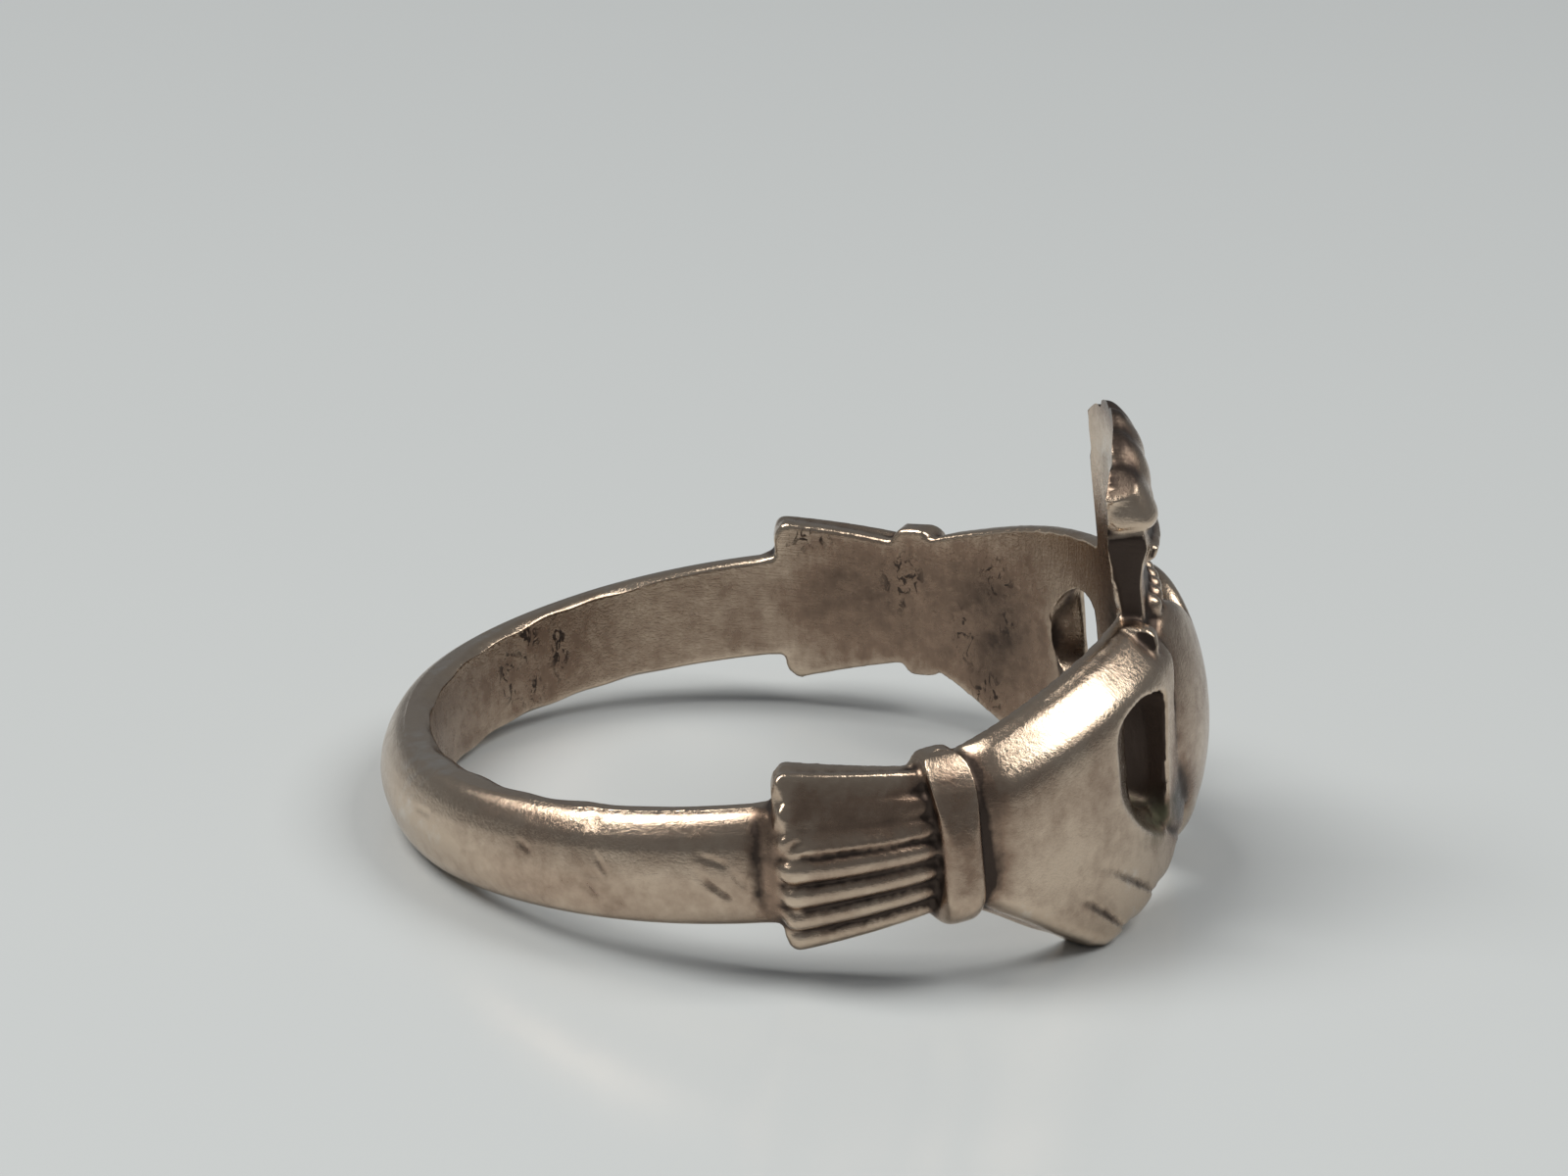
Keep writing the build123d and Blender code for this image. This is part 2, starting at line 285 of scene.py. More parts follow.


# %% [markdown]
# ## Tarnished silver
#
# Worn silver isn't one colour. Where skin and cloth rub it, it is a warm pale grey, and
# brown sulphide stays in clouds and above all in the recesses. It could be painted by
# hand, but then it would fit this view only. Instead the skin later gets measures as
# attributes: how deep a place lies, how much it is rubbed, and where stains, dirt and pits
# are. The recess and stain measures also carry painted light and shade: dark painted shade in
# the slots and on the crown's tops, darker colour where faces mirror the dim room, lighter
# colour where they mirror the pale sheet, and clean silver as a painted highlight on the
# thumb. The nodes below turn those and some noise into colour, roughness and a fine bump.
# Noise is read in millimetres, so its grain has a real size.

# %% Silver
clean_silver_and_painted_highlight = (0.86, 0.84, 0.79, 1)
rubbed_silver = (0.64, 0.51, 0.39, 1)
clouded_silver = (0.31, 0.215, 0.157, 1)
deep_tarnish_and_painted_shade = (0.07, 0.052, 0.043, 1)
old_dirt = (0.16, 0.155, 0.10, 1)

silver, tree, shader = new_material("tarnished_silver")
shader.inputs["Metallic"].default_value = 1.0


def shade(kind, inputs=None, **settings):
    """Node of the silver's tree."""
    return add_node(tree, kind, inputs, **settings)


def sums(operation, *values, clamp=False):
    """One arithmetic step in the silver's tree."""
    return shade("ShaderNodeMath", dict(enumerate(values)), operation=operation, use_clamp=clamp).outputs[0]


def blend(share, start, end):
    """Colour a share of the way from start to end."""
    mixer = shade("ShaderNodeMix", data_type="RGBA", clamp_factor=True)
    for socket, value in ((mixer.inputs[0], share), (mixer.inputs[6], start), (mixer.inputs[7], end)):
        if isinstance(value, bpy.types.NodeSocket):
            tree.links.new(value, socket)
        else:
            socket.default_value = value
    return mixer.outputs[2]


def spread(value, low, high):
    """Value stretched so that low becomes 0 and high becomes 1."""
    return shade("ShaderNodeMapRange", {0: value, 1: low, 2: high, 3: 0.0, 4: 1.0}).outputs[0]


def kept(name):
    """Measure left on the skin, of wear, tarnish, or painted light and shade."""
    return shade("ShaderNodeAttribute", attribute_name=name, attribute_type="GEOMETRY").outputs["Fac"]


place = shade("ShaderNodeTexCoord").outputs["Object"]
in_mm = shade("ShaderNodeVectorMath", {0: place, "Scale": 1000.0}, operation="SCALE").outputs[0]


def grain(scale, detail, stretch=(1, 1, 1), turn=(0, 0, 0), distortion=0.0):
    """Noise with its grain per millimetre, stretched and turned."""
    laid = shade("ShaderNodeMapping", {"Vector": in_mm, "Rotation": turn, "Scale": stretch}).outputs[0]
    noise = shade("ShaderNodeTexNoise", {
        "Vector": laid, "Scale": scale, "Detail": detail, "Roughness": 0.62, "Distortion": distortion})
    return noise.outputs["Fac"]


recess, rubbed, stain = kept("recess"), kept("rubbed"), kept("stain")
dirt, pitting = kept("dirt"), kept("pitting")
clouds = grain(0.42, 5.0, distortion=0.6)
mottle = grain(2.6, 6.0)
specks = grain(9.0, 3.0)
scratches = [
    grain(1.6, 5.0, stretch=(0.5, 9, 9), turn=(0.2, 0.5, 0.4)),
    grain(1.6, 5.0, stretch=(9, 0.4, 7), turn=(0.5, -0.3, -0.5)),
    grain(1.3, 4.0, stretch=(7, 8, 0.35), turn=(0.6, 0.2, 0.1)),
]
pits = grain(3.9, 2.5, stretch=(1.0, 1.0, 0.6), distortion=1.2)

# Clouds of tarnish, thinner where the ring is rubbed, and nearly black where it never is.
# The stain measure adds painted light and shade: thicker film where shade or a dim reflection
# is painted, and clean silver where a highlight or a reflection of the pale sheet is painted.
film_and_painted_light = sums("MULTIPLY_ADD", spread(clouds, 0.36, 0.66), 0.5, 0.3)
film_and_painted_light = sums("MULTIPLY_ADD", spread(mottle, 0.3, 0.72), 0.5, film_and_painted_light)
film_and_painted_light = sums("MULTIPLY_ADD", rubbed, -0.75, film_and_painted_light)
film_and_painted_light = sums("ADD", film_and_painted_light, stain)
colour = blend(film_and_painted_light, rubbed_silver, clouded_silver)
colour = blend(spread(film_and_painted_light, 1.0, 2.1), colour, deep_tarnish_and_painted_shade)
colour = blend(spread(film_and_painted_light, -0.2, -1.2), colour, clean_silver_and_painted_highlight)

# Brown in every recess, with a ragged border, and dark painted shade where the recess measure
# carries it: in the slots, on the crown's tops and behind the heart
ragged = sums("MULTIPLY_ADD", mottle, 0.5, -0.25)
deep_and_painted_shade = spread(sums("ADD", recess, ragged), 0.12, 0.62)
colour = blend(deep_and_painted_shade, colour, deep_tarnish_and_painted_shade)

# Pits, and the dirt that sits in corners
open_pit = sums("MULTIPLY", spread(pits, 0.54, 0.6), spread(pitting, 0.15, 0.6), clamp=True)
colour = blend(open_pit, colour, deep_tarnish_and_painted_shade)
crust = sums("MULTIPLY", dirt, spread(mottle, 0.3, 0.6), clamp=True)
colour = blend(crust, colour, old_dirt)
tree.links.new(colour, shader.inputs["Base Color"])

# Duller where it is tarnished, mottled or dirty, and where shade is painted
dull = sums("MULTIPLY_ADD", spread(film_and_painted_light, 0.0, 1.0), 0.10, 0.15)
dull = sums("MULTIPLY_ADD", deep_and_painted_shade, 0.22, dull)
dull = sums("MULTIPLY_ADD", spread(mottle, 0.35, 0.75), 0.07, dull)
dull = sums("MULTIPLY_ADD", crust, 0.3, dull)
tree.links.new(dull, shader.inputs["Roughness"])

# Fine relief: a beaten unevenness, scratches three ways, specks and the pits
relief = sums("MULTIPLY", mottle, 0.4)
for scratch in scratches:
    relief = sums("MULTIPLY_ADD", spread(scratch, 0.62, 0.5), 0.28, relief)
relief = sums("MULTIPLY_ADD", specks, 0.12, relief)
relief = sums("MULTIPLY_ADD", open_pit, -1.2, relief)
bump = shade("ShaderNodeBump", {"Height": relief, "Strength": 0.15, "Distance": 0.00006}).outputs[0]
tree.links.new(bump, shader.inputs["Normal"])
print("silver made of", len(tree.nodes), "shader nodes")

# %% [markdown]
# ## Recipes for repeated ornament
#
# Pleats, beads and crown points are the same form many times over, so each kind is grown
# by Geometry Nodes from a few named sizes. A recipe is a tree of nodes: it starts from
# points or a line, moves them by arithmetic on their number, and gives them a body. The
# class below keeps the tree, and writes the arithmetic as short calls.

# %% Recipe helper
def plain_mesh(carrier):
    """Mesh that an object's modifiers make of it, which then needs the object no more."""
    graph = bpy.context.evaluated_depsgraph_get()
    mesh = bpy.data.meshes.new_from_object(carrier.evaluated_get(graph))
    bpy.data.objects.remove(carrier)
    return mesh


class Recipe:
    """Geometry Nodes tree under construction, with named sizes as its inputs."""

    def __init__(self, name, sizes):
        self.tree = bpy.data.node_groups.new(name, "GeometryNodeTree")
        self.sizes = dict(sizes)
        for size, value in self.sizes.items():
            kind = "NodeSocketInt" if isinstance(value, int) else "NodeSocketFloat"
            self.tree.interface.new_socket(name=size, in_out="INPUT", socket_type=kind)
        self.tree.interface.new_socket(name="Metal", in_out="INPUT", socket_type="NodeSocketMaterial")
        self.tree.interface.new_socket(name="Geometry", in_out="OUTPUT", socket_type="NodeSocketGeometry")
        self.given = self.tree.nodes.new("NodeGroupInput")

    def size(self, name):
        """Socket of a named size."""
        return self.given.outputs[name]

    def node(self, kind, inputs=None, **settings):
        """Any node of the tree."""
        return add_node(self.tree, kind, inputs, **settings)

    def calc(self, operation, *values):
        """Result of one arithmetic step."""
        inputs = dict(enumerate(values))
        return self.node("ShaderNodeMath", inputs, operation=operation).outputs[0]

    def between(self, start, end, share):
        """Value a share of the way from start to end."""
        return self.calc("MULTIPLY_ADD", self.calc("SUBTRACT", end, start), share, start)

    def vector(self, x, y, z):
        """Vector of three numbers."""
        return self.node("ShaderNodeCombineXYZ", {0: x, 1: y, 2: z}).outputs[0]

    def move(self, geometry, **places):
        """Moves points to a Position or by an Offset."""
        return self.node("GeometryNodeSetPosition", {"Geometry": geometry, **places}).outputs[0]

    def move_round(self, geometry, degrees, radius, height):
        """Moves points to an angle round the finger hole, a distance from it and a height."""
        turn = self.calc("RADIANS", degrees)
        x = self.calc("MULTIPLY", radius, self.calc("COSINE", turn))
        y = self.calc("MULTIPLY", radius, self.calc("SINE", turn))
        return self.move(geometry, Position=self.vector(x, y, height))

    def copies(self, points, thing, **more):
        """Real copies of a thing at points."""
        inputs = {"Points": points, "Instance": thing, **more}
        instances = self.node("GeometryNodeInstanceOnPoints", inputs).outputs[0]
        return self.node("GeometryNodeRealizeInstances", {"Geometry": instances}).outputs[0]

    def numbered_points(self, count):
        """Points that keep their number, from 0 up, as an attribute."""
        cloud = self.node("GeometryNodePoints", {"Count": count}).outputs[0]
        index = self.node("GeometryNodeInputIndex").outputs[0]
        return self.node("GeometryNodeStoreNamedAttribute", {
            "Geometry": cloud, "Name": "number", "Value": index}).outputs[0]

    def number(self):
        """The number kept by numbered_points."""
        return self.node("GeometryNodeInputNamedAttribute", {"Name": "number"}).outputs[0]

    def grow(self, geometry):
        """Closes the tree, runs it once and returns the result as a plain mesh."""
        real = self.node("GeometryNodeRealizeInstances", {"Geometry": geometry}).outputs[0]
        clad = self.node("GeometryNodeSetMaterial", {"Geometry": real, "Material": self.size("Metal")})
        self.node("NodeGroupOutput", {"Geometry": clad.outputs[0]})
        seed = placed(self.tree.name, bpy.data.meshes.new(self.tree.name))
        modifier = seed.modifiers.new("recipe", "NODES")
        modifier.node_group = self.tree
        values = dict(self.sizes, Metal=silver)
        for item in self.tree.interface.items_tree:
            if item.in_out == "INPUT":
                modifier[item.identifier] = values[item.name]
        grown = plain_mesh(seed)
        print(self.tree.name, len(grown.vertices), "points", len(grown.polygons), "faces")
        return grown


# %% [markdown]
# ## Pleats of the cuffs
#
# On the real ring each cuff is gathered cloth in silver: seven rolls that leave the wrist
# close together and fan out to rounded ends. They could be carved as grooves, but a roll
# is easier to grow. A line is copied once for each pleat and laid round the hole between
# its angles, and a round section runs along it that swells at the open end.

# %% Pleats
cuff_flare_angle, cuff_neck_angle = 90.2, 67.5
cuff_flare_height, cuff_neck_height = 4.6, 3.55
cuff_flare_lift = 0.12
cuff_flare_thickness, cuff_neck_thickness = 1.75, 1.35
cuff_edge_share = 0.52
pleat_count = 7

pleats = Recipe("pleats", {
    "Pleats": pleat_count,
    "Hole radius": hole_radius,
    "Flare angle": cuff_flare_angle,
    "Neck angle": cuff_neck_angle,
    "Flare height": cuff_flare_height,
    "Neck height": cuff_neck_height,
    "Flare lift": cuff_flare_lift,
    "Flare thickness": cuff_flare_thickness,
    "Neck thickness": cuff_neck_thickness,
    "Edge share": cuff_edge_share,
    "Fullness": 1.05,
    "End share": 0.07,
})
size, calc, node, between = pleats.size, pleats.calc, pleats.node, pleats.between
line = node("GeometryNodeCurvePrimitiveLine", {"End": (1, 0, 0)}).outputs[0]
line = node("GeometryNodeResampleCurve", {"Curve": line, "Count": 28}).outputs[0]
lines = pleats.copies(pleats.numbered_points(size("Pleats")), line)
way = node("GeometryNodeSplineParameter").outputs["Factor"]
share = calc("DIVIDE", calc("ADD", pleats.number(), 0.5), size("Pleats"))
level = calc("MULTIPLY_ADD", share, 2, -1)
height = between(size("Flare height"), size("Neck height"), way)
lift = between(size("Flare lift"), 0, way)
thickness = between(size("Flare thickness"), size("Neck thickness"), way)
roll = calc("MULTIPLY", calc("DIVIDE", height, size("Pleats")), size("Fullness"))
roll = calc("MULTIPLY", roll, 0.5)
arch = calc("SUBTRACT", 1, calc("MULTIPLY", level, level))
crest = calc("MULTIPLY", thickness, between(size("Edge share"), 1, arch))
radius = calc("SUBTRACT", calc("ADD", size("Hole radius"), crest), roll)
upright = calc("MULTIPLY_ADD", calc("MULTIPLY", level, height), 0.5, lift)
degrees = between(size("Flare angle"), size("Neck angle"), way)
fanned = pleats.move_round(lines, degrees, radius, upright)
from_end = calc("MINIMUM", calc("DIVIDE", way, size("End share")), 1)
shortfall = calc("SUBTRACT", 1, from_end)
square = calc("MULTIPLY", shortfall, shortfall)
swell = calc("MULTIPLY", 0.816, calc("SQRT", calc("SUBTRACT", 1.5, square)))
section = node("GeometryNodeCurvePrimitiveCircle", {"Resolution": 14, "Radius": 1.0}).outputs[0]
rolls = node("GeometryNodeCurveToMesh", {
    "Curve": fanned, "Profile Curve": section,
    "Scale": calc("MULTIPLY", roll, swell), "Fill Caps": True}).outputs[0]
mirrored = node("GeometryNodeTransform", {"Geometry": rolls, "Scale": (1, -1, 1)}).outputs[0]
turned = node("GeometryNodeFlipFaces", {"Mesh": mirrored}).outputs[0]
both = node("GeometryNodeJoinGeometry")
pleats.tree.links.new(rolls, both.inputs[0])
pleats.tree.links.new(turned, both.inputs[0])
pleat_mesh = pleats.grow(both.outputs[0])

# %% [markdown]
# ## Crown beads and points
#
# The crown carries a row of small beads over its foot and five fat rounded points. Both
# are balls set along an arc round the finger: beads in an even row, points on an arched
# one, pulled tall and squat below. Behind, the crown is smooth against the finger, so no
# ball reaches into the hole. The crown has been knocked, so the whole set is turned and
# leaned about its foot as the solid is.

# %% Crown balls
crown_width = 5.8
crown_height = 7.65
crown_side_drop = 0.7
crown_foot_height = 2.0
crown_lean, crown_twist = radians(2.0), radians(3.5)


def crown_balls(name, sizes):
    """Row of ellipsoids across the crown, leaned and turned with it."""
    balls = Recipe(name, sizes)
    size, calc, node = balls.size, balls.calc, balls.node
    steps = calc("SUBTRACT", size("Count"), 1)
    share = calc("SUBTRACT", 1, calc("DIVIDE", calc("MULTIPLY", balls.number(), 2), steps))
    across = calc("MULTIPLY", share, size("Half width"))
    turn = calc("ARCSINE", calc("DIVIDE", across, size("Row radius")))
    drop = calc("MULTIPLY", calc("MULTIPLY", share, share), size("Side drop"))
    height = calc("SUBTRACT", size("Height"), drop)
    row = balls.numbered_points(size("Count"))
    row = balls.move_round(row, calc("DEGREES", turn), size("Row radius"), height)
    ball = node("GeometryNodeMeshUVSphere", {"Segments": 24, "Rings": 16, "Radius": 1.0}).outputs[0]
    place = node("GeometryNodeInputPosition").outputs[0]
    split = node("ShaderNodeSeparateXYZ", {"Vector": place})
    squash = calc("SUBTRACT", size("Lower share"), 1)
    raise_by = calc("MULTIPLY", calc("MINIMUM", split.outputs["Z"], 0), squash)
    ball = balls.move(ball, Offset=balls.vector(0, 0, raise_by))
    pull = balls.vector(size("Thick"), size("Wide"), size("Tall"))
    row = balls.copies(row, ball, Rotation=balls.vector(0, 0, turn), Scale=pull)
    flat = balls.vector(split.outputs["X"], split.outputs["Y"], 0)
    distance = node("ShaderNodeVectorMath", {0: flat}, operation="LENGTH").outputs["Value"]
    push = calc("DIVIDE", calc("MAXIMUM", distance, size("Inner radius")), distance)
    pushed = node("ShaderNodeVectorMath", {0: flat, "Scale": push}, operation="SCALE").outputs[0]
    upright = balls.vector(0, 0, split.outputs["Z"])
    outside = node("ShaderNodeVectorMath", {0: pushed, 1: upright}, operation="ADD").outputs[0]
    row = balls.move(row, Position=outside)
    foot = (hole_radius, 0, crown_foot_height)
    for move in (
        {"Translation": tuple(-value for value in foot)},
        {"Rotation": (0, 0, crown_twist)},
        {"Rotation": (0, -crown_lean, 0), "Translation": foot},
    ):
        row = node("GeometryNodeTransform", {"Geometry": row, **move}).outputs[0]
    return balls.grow(row)


point_tall = 1.15
bead_mesh = crown_balls("crown_beads", {
    "Count": 7, "Half width": 2.1, "Row radius": hole_radius + 0.62, "Height": 2.95, "Side drop": 0.0,
    "Thick": 0.33, "Wide": 0.33, "Tall": 0.33, "Lower share": 1.0, "Inner radius": hole_radius,
})
point_mesh = crown_balls("crown_points", {
    "Count": 5, "Half width": crown_width / 2 - 0.78, "Row radius": hole_radius + 0.44,
    "Height": crown_height - point_tall, "Side drop": crown_side_drop,
    "Thick": 0.57, "Wide": 0.83, "Tall": point_tall, "Lower share": 0.5, "Inner radius": hole_radius + 0.02,
})

# %% [markdown]
# ## The casting to start from
#
# The solid's own mesh stays as it is. A copy of it, merged and turned into the ring's
# frame, is the wax that the ornament is set on. One skin of even small squares then covers
# both, as the metal of a casting does. The helpers join meshes, run one modifier on a mesh,
# and turn points into angle, distance and height round the finger hole, in which all
# carving is easy to say.

# %% Joining and skinning
def joined(meshes):
    """One mesh of several, with double points merged."""
    bm = bmesh.new()
    for mesh in meshes:
        bm.from_mesh(mesh)
    bmesh.ops.remove_doubles(bm, verts=bm.verts, dist=0.0005)
    whole = bpy.data.meshes.new("joined")
    bm.to_mesh(whole)
    bm.free()
    return whole


def with_modifier(mesh, kind, **settings):
    """Mesh that one modifier makes of another."""
    carrier = placed("carrier", mesh)
    modifier = carrier.modifiers.new("change", kind)
    for name, value in settings.items():
        setattr(modifier, name, value)
    return plain_mesh(carrier)


def skin(mesh, size):
    """Evenly meshed closed skin over a mesh whose pieces overlap."""
    return with_modifier(mesh, "REMESH", mode="VOXEL", voxel_size=size, use_smooth_shade=True)


def relaxed(points, mean, rounds, weight=1.0):
    """Points after rounds of smoothing that keeps the volume, where weight lets them."""
    for _ in range(rounds):
        points = points + weight * 0.5 * (mean(points) - points)
        points = points - weight * 0.53 * (mean(points) - points)
    return points


def polar(points):
    """Angle from the heart in degrees, distance from the hole's axis, and height."""
    x, y, height = points.T
    return np.degrees(np.arctan2(y, x)), np.hypot(x, y), height


def from_polar(angle, radius, height):
    """Points back from angle, distance and height."""
    turn = np.radians(angle)
    return np.stack([radius * np.cos(turn), radius * np.sin(turn), height], axis=1)


def facing_out(points, normals):
    """How far each point of the skin faces away from the hole's axis, from -1 to 1."""
    return (points[:, :2] * normals[:, :2]).sum(axis=1) / np.hypot(points[:, 0], points[:, 1])


# %% [markdown]
# Two more tools are needed for the hands. One closes rings of points to a block, which can
# be a lump of wax or a saw. The other saws with it.

# %% Blocks and saws
def block_of(rows):
    """Closed block through rings of points, all of one length."""
    count = len(rows[0])
    bm = bmesh.new()
    rings = [[bm.verts.new(point) for point in row] for row in rows]
    for low, high in zip(rings, rings[1:]):
        for k in range(count):
            bm.faces.new((low[k], low[(k + 1) % count], high[(k + 1) % count], high[k]))
    bm.faces.new(rings[0][::-1])
    bm.faces.new(rings[-1])
    bmesh.ops.recalc_face_normals(bm, faces=bm.faces)
    bmesh.ops.triangulate(bm, faces=bm.faces)
    block = bpy.data.meshes.new("block")
    bm.to_mesh(block)
    bm.free()
    return block


def cut(mesh, tool):
    """Mesh without what lies inside a tool's mesh."""
    saw = placed("saw", tool)
    result = with_modifier(mesh, "BOOLEAN", operation="DIFFERENCE", solver="EXACT", object=saw)
    bpy.data.objects.remove(saw)
    return result


# %% [markdown]
# Each hand gets a block of wax to be carved from. Its outline is the hand's own on the
# unrolled ring: along the thumb, under the heart's flank, round the four finger tips and
# back to the wrist. It stands higher than the hand will be.

# %% Wax for the hands
tip_outline = [
    (12.4, -2.75), (13.6, -3.08), (15.8, -3.25), (18.2, -3.28), (20.2, -3.56), (23.0, -3.72),
    (26.4, -3.72), (28.8, -3.98), (32.0, -4.1), (35.0, -4.06), (37.4, -4.26), (40.6, -4.3),
    (43.4, -4.1), (47.0, -3.68), (50.4, -3.3), (54.0, -2.84), (58.0, -2.38), (63.2, -1.8),
]
thumb_outline = [
    (63.2, 1.5), (56.0, 2.0), (50.2, 2.22), (43.0, 2.46), (36.4, 2.62), (30.0, 2.74), (24.4, 2.8),
]
heart_side_outline = [(16.6, 2.88), (16.6, 1.9), (19.0, 1.2), (19.0, 0.0), (16.8, -1.2), (13.2, -2.1)]
hand_outline = tip_outline + thumb_outline + heart_side_outline
block_height = 1.9
block_step = 0.1


def hand_block(side):
    """Block of wax over one hand."""
    rows = []
    for level in (0.0, block_height / 2, block_height):
        angle, height = np.array(hand_outline).T
        radius = np.full(len(angle), hole_radius + level)
        rows.append([tuple(point) for point in from_polar(side * angle, radius, height)])
    return block_of(rows)


block = skin(joined([hand_block(1), hand_block(-1)]), block_step)
print("blocks", len(block.vertices), "points")

# %% [markdown]
# ## Hands
#
# On the real hands the thumb isn't a separate roll any more. Years of wear have filed it to
# a broad slope that runs on into the palm, and the fingers are one soft form with grooves.
# So one profile from the thumb's edge down gives the height of the whole hand, and all wax
# above it is filed away. Towards the finger tips the profile rounds off.

# %% File the hands
thumb_angles = [18.0, 24.4, 36.4, 50.2, 64.0]
thumb_tops = [2.91, 2.95, 2.75, 2.36, 1.85]
profile_depths = [0.0, 0.05, 0.12, 0.22, 0.45, 0.75, 1.0, 1.3, 1.7, 2.2, 3.0, 4.0, 5.0, 6.0, 7.0]
profile_levels = [0.36, 0.5, 0.64, 0.76, 0.98, 1.25, 1.39, 1.46, 1.48, 1.46, 1.4, 1.35, 1.3, 1.24, 1.15]
tip_round = 0.45
wrist_drop = 0.22
wax_step = 0.085
heart_edge_heights = [-3.2, -2.7, -2.4, -2.1, -1.8, -1.5, -1.2, -0.9, -0.6, -0.3, 0.0, 2.9]
heart_edge_angles = [10.0, 10.5, 11.8, 13.6, 15.2, 16.8, 17.9, 19.0, 20.0, 20.6, 21.0, 21.0]
unroll_radius = 10.2


def unrolled(angle, height):
    """Places on the unrolled ring, in millimetres."""
    return np.stack([np.radians(angle) * unroll_radius, height], axis=-1)


def gap_to_line(places, start, end):
    """Distance of places from a short line, and the share of the way along it."""
    line = end - start
    share = np.clip((places - start) @ line / (line @ line), 0, 1)
    return np.hypot(*(places - start - share[:, None] * line).T), share


def gap_to_path(places, path):
    """Distance of places from a path of short lines."""
    corners = unrolled(*np.array(path).T)
    gaps = [gap_to_line(places, start, end)[0] for start, end in zip(corners, corners[1:])]
    return np.min(gaps, axis=0)


def hand_level(angle, height):
    """Height of a hand's face over the finger hole's wall."""
    beside = np.abs(angle)
    depth = np.interp(beside, thumb_angles, thumb_tops) - height
    level = np.interp(depth, profile_depths, profile_levels) - wrist_drop * ramp(beside, 57.5, 62.5)
    short = np.clip(tip_round - gap_to_path(unrolled(beside, height), tip_outline), 0, tip_round)
    return level - (tip_round - np.sqrt(tip_round**2 - short**2))


def filed(mesh, round_heart):
    """Files a mesh down to the hands' face, round the heart if it is there already."""
    points = get_points(mesh)
    angle, radius, height = polar(points)
    beside = np.abs(angle)
    on_hand = np.ones(len(points))
    if round_heart:
        heart_edge = np.interp(height, heart_edge_heights, heart_edge_angles)
        on_hand = ramp(beside, 62.9, 61.9) * ramp(beside - heart_edge, 0.3, 1.3)
        on_hand *= ramp(radius, hole_radius + 0.1, hole_radius + 0.3)
    excess = np.clip(radius - hole_radius - hand_level(angle, height), 0, None) * on_hand
    points = from_polar(angle, radius - excess, height)
    if round_heart:
        points = relaxed(points, neighbour_mean(mesh), 8, on_hand[:, None])
    set_points(mesh, points)
    print("filed", int((excess > 0).sum()), "points, the deepest by", round(float(excess.max()), 2))


casting = frame["nodes"]["ring"].data.copy()
casting.materials.clear()
set_points(casting, to_ring(get_points(casting)))
filed(block, False)
wax = skin(joined([casting, block]), wax_step)
filed(wax, True)
print("wax", len(wax.vertices), "points")

# %% [markdown]
# The opening beside the heart is sawn out last. It is a half moon inside and nearly a
# rectangle outside, and its outer and lower edges are filed to a slope. The saw is a block
# through those outlines. On the far side the opening reaches further into the hand.

# %% Slots
# Each row: a corner's angle and height inside, the same outside, and the slope filed there
slot_corners = [
    (21.9, 0.3, 23.2, 0.3, 0.0, 0.0),
    (22.6, 1.1, 23.3, 1.3, 0.0, 0.0),
    (26.3, 1.42, 25.6, 1.52, 0.6, 0.1),
    (31.1, 1.22, 29.0, 1.5, 3.5, 0.25),
    (35.3, 0.62, 30.2, 1.1, 8.0, 0.3),
    (36.8, -0.15, 30.4, 0.2, 8.6, 0.1),
    (35.8, -0.85, 30.6, -0.6, 8.0, -0.1),
    (32.9, -1.3, 29.8, -1.15, 4.0, -0.6),
    (27.5, -1.5, 26.5, -1.5, 1.0, -1.1),
    (22.9, -1.4, 23.6, -1.5, 0.0, -1.1),
    (21.9, -0.7, 23.2, -0.8, 0.0, -0.3),
]
# Each row: radius, share of the way to the outside corners, and share of the slope
slot_depths = [(8.7, 0.0, 0.0), (9.1, 0.0, 0.0), (9.9, 1.0, 0.0), (10.6, 1.0, 1.0)]


def rounded(corners, steps):
    """Closed smooth curve through corners, with so many points from each to the next."""
    before, after, beyond = (np.roll(corners, shift, axis=0) for shift in (1, -1, -2))
    curve = []
    for t in np.arange(steps) / steps:
        curve.append(0.5 * (
            2 * corners + (after - before) * t + (2 * before - 5 * corners + 4 * after - beyond) * t**2
            + (3 * corners - before - 3 * after + beyond) * t**3))
    return np.stack(curve, axis=1).reshape(-1, 2)


def slot_cutter(side, wider):
    """Block that saws the opening on one side, so many degrees further into the hand."""
    inside, outside, flares = np.hsplit(np.array(slot_corners), 3)
    outside = outside + wider * (outside > 28) * (1, 0)
    rows = []
    for radius, way_out, flare in slot_depths:
        angle, height = rounded(inside + way_out * (outside - inside) + flare * flares, 4).T
        radius = np.full(len(angle), radius)
        rows.append([tuple(point) for point in from_polar(side * angle, radius, height)])
    return block_of(rows)


for side, wider in ((1, 3.2), (-1, 0.0)):
    wax = cut(wax, slot_cutter(side, wider))
print("sawn, now", len(wax.vertices), "points")

# %% [markdown]
# The casting's own pleats are plain arcs. Under the grown ones the wax gives way and is
# smoothed, so that the gaps between them are clean.

# %% Room for the pleats
room_for_pleats = 0.3
points = get_points(wax)
angle, radius, height = polar(points)
beside = np.abs(angle)
in_cuff = ramp(beside, 68.5, 69.5) * ramp(beside, 90.2, 89.0)
in_cuff *= ramp(radius, hole_radius + 0.3, hole_radius + 0.5)
radius -= room_for_pleats * in_cuff
points = relaxed(from_polar(angle, radius, height), neighbour_mean(wax), 40, in_cuff[:, None])
set_points(wax, points)
print("room made at", int((in_cuff > 0.5).sum()), "points")

# %% [markdown]
# Now everything becomes one skin: wax, pleats, beads and points. The small steps of the
# mesh are smoothed, the cuffs' outer corners are rounded, and the finger hole gets its
# true radius back, because a finger feels every step there.

